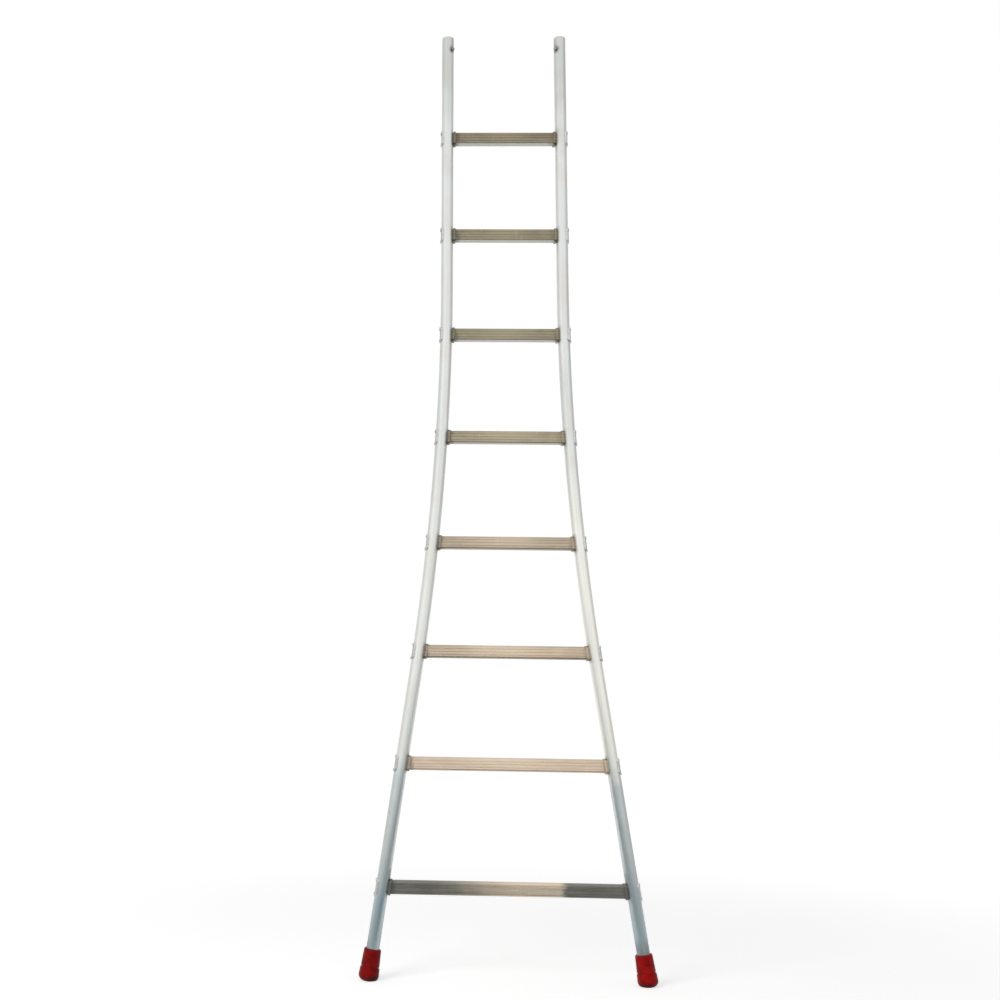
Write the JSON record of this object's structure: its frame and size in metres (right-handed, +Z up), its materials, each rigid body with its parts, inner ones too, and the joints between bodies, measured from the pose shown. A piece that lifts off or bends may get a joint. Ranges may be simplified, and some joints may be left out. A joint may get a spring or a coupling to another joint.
{
  "type": "ladder base section",
  "caption": "Aluminium ladder base section with bent tube stiles that flare to red rubber feet, flat-fronted grooved rungs, and spring lock buttons at the open tops for the next section.",
  "frame": {"origin": "on the floor, midway between the two feet", "axes": "+Z up the ladder, +X to the right seen from the front, -Y towards the viewer"},
  "size_m": [0.7278, 0.0502, 2.5],
  "materials": {
    "stile_aluminium": "satin drawn tube",
    "rung_aluminium": "grooved extrusion, warm grey-brown",
    "foot_rubber": "matt red rubber",
    "plated_steel": "plated steel",
    "spring_steel": "tempered spring steel"
  },
  "bodies": {
    "ladder": {"stile_left": "stile_aluminium", "stile_right": "stile_aluminium", "rung_1": "rung_aluminium", "rung_2": "rung_aluminium", "rung_3": "rung_aluminium", "rung_4": "rung_aluminium", "rung_5": "rung_aluminium", "rung_6": "rung_aluminium", "rung_7": "rung_aluminium", "rung_8": "rung_aluminium", "foot_left": "foot_rubber", "foot_right": "foot_rubber", "foot_washer_left": "plated_steel", "foot_washer_right": "plated_steel", "lock_spring_left": "spring_steel", "lock_spring_right": "spring_steel"},
    "lock_button_left": {"lock_button_left": "plated_steel"},
    "lock_button_right": {"lock_button_right": "plated_steel"}
  },
  "joints": [
    {"name": "lock_button_left_press", "type": "slide", "parent": "ladder", "child": "lock_button_left", "axis": [0.7071, -0.7071, 0], "range_m": [-0.005, 0], "stiffness_N_per_m": 1000, "springref_m": 0.006, "deforming": ["lock_spring_left"]},
    {"name": "lock_button_right_press", "type": "slide", "parent": "ladder", "child": "lock_button_right", "axis": [-0.7071, -0.7071, 0], "range_m": [-0.005, 0], "stiffness_N_per_m": 1000, "springref_m": 0.006, "deforming": ["lock_spring_right"]}
  ]
}
